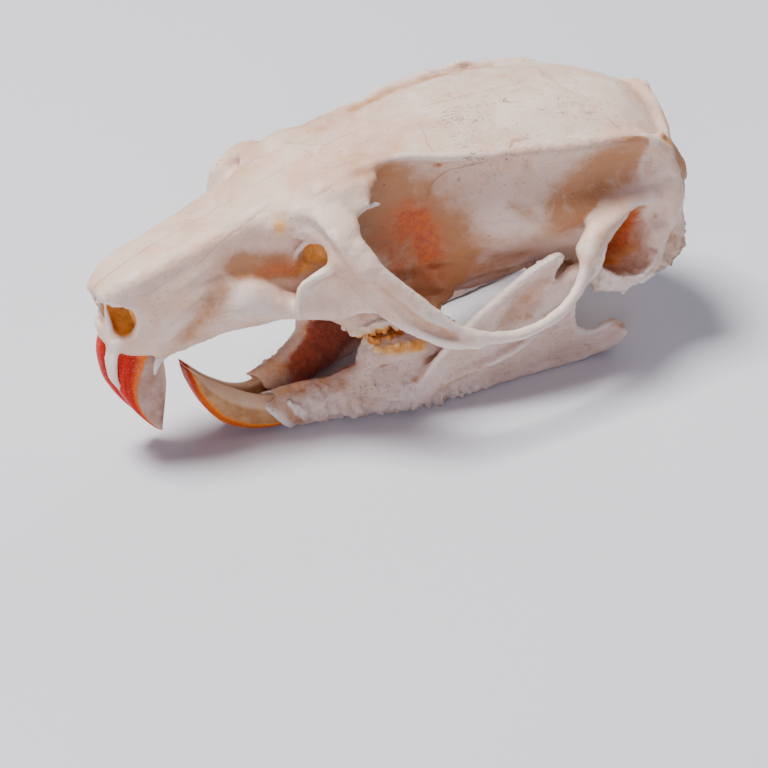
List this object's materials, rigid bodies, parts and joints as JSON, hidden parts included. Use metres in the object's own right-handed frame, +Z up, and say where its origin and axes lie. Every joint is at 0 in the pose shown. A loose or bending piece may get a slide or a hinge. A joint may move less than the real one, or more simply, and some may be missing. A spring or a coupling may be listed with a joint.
{
  "type": "rat skull",
  "caption": "Dry rat skull with its lower jaw set under it, orange front teeth and open cheek arches, for study or display",
  "frame": {"origin": "centre of the skull's outline, on the table it rests on", "axes": "+X from the nose to the back of the head, +Z up, +Y to the right side of the skull"},
  "size_m": [0.044, 0.022, 0.0199],
  "materials": {
    "bone": "satin",
    "upper_enamel": "gloss",
    "lower_enamel": "gloss",
    "molar": "satin"
  },
  "bodies": {
    "root": {"cranium": "bone", "mandible_left": "bone", "mandible_right": "bone", "upper_incisor_left": "upper_enamel", "upper_incisor_right": "upper_enamel", "lower_incisor_left": "lower_enamel", "lower_incisor_right": "lower_enamel", "upper_molar_left_1": "molar", "upper_molar_left_2": "molar", "upper_molar_left_3": "molar", "upper_molar_right_1": "molar", "upper_molar_right_2": "molar", "upper_molar_right_3": "molar", "lower_molar_left_1": "molar", "lower_molar_left_2": "molar", "lower_molar_left_3": "molar", "lower_molar_right_1": "molar", "lower_molar_right_2": "molar", "lower_molar_right_3": "molar"}
  },
  "joints": []
}
